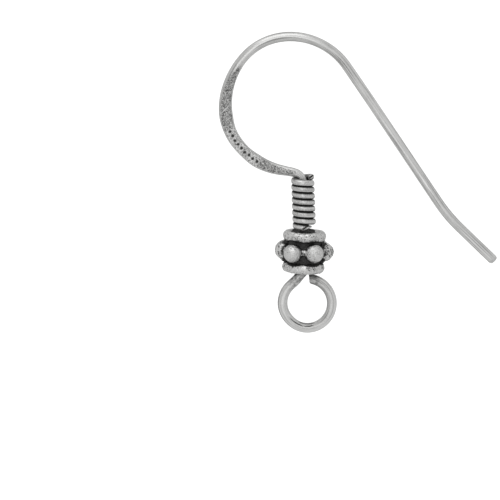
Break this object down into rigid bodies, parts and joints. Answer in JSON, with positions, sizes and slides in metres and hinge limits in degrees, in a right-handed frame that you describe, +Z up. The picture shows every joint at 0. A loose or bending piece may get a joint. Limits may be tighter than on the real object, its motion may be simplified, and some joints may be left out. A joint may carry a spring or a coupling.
{
  "type": "ear wire",
  "caption": "French hook ear wire: bent silver wire with a hammered bow, a coil of thin wire, a granulated spacer bead and an open eye that a drop hangs from.",
  "frame": {"origin": "centre of the bounding box's base, on the surface that the ear wire rests on", "axes": "+Z up from the surface, +Y along the shank towards the bow, +X towards the tail"},
  "size_m": [0.0206, 0.0228, 0.0043],
  "materials": {
    "ear_hook": "drawn silver wire, lightly oxidised, with a sandy hammered stretch",
    "coil_wrap": "silver wire, bright on the outside and oxidised dark between the turns",
    "spacer_bead": "pitted antiqued silver, oxidised black in the recesses"
  },
  "bodies": {
    "root": {"ear_hook": "ear_hook", "coil_wrap": "coil_wrap", "spacer_bead": "spacer_bead"}
  },
  "joints": []
}
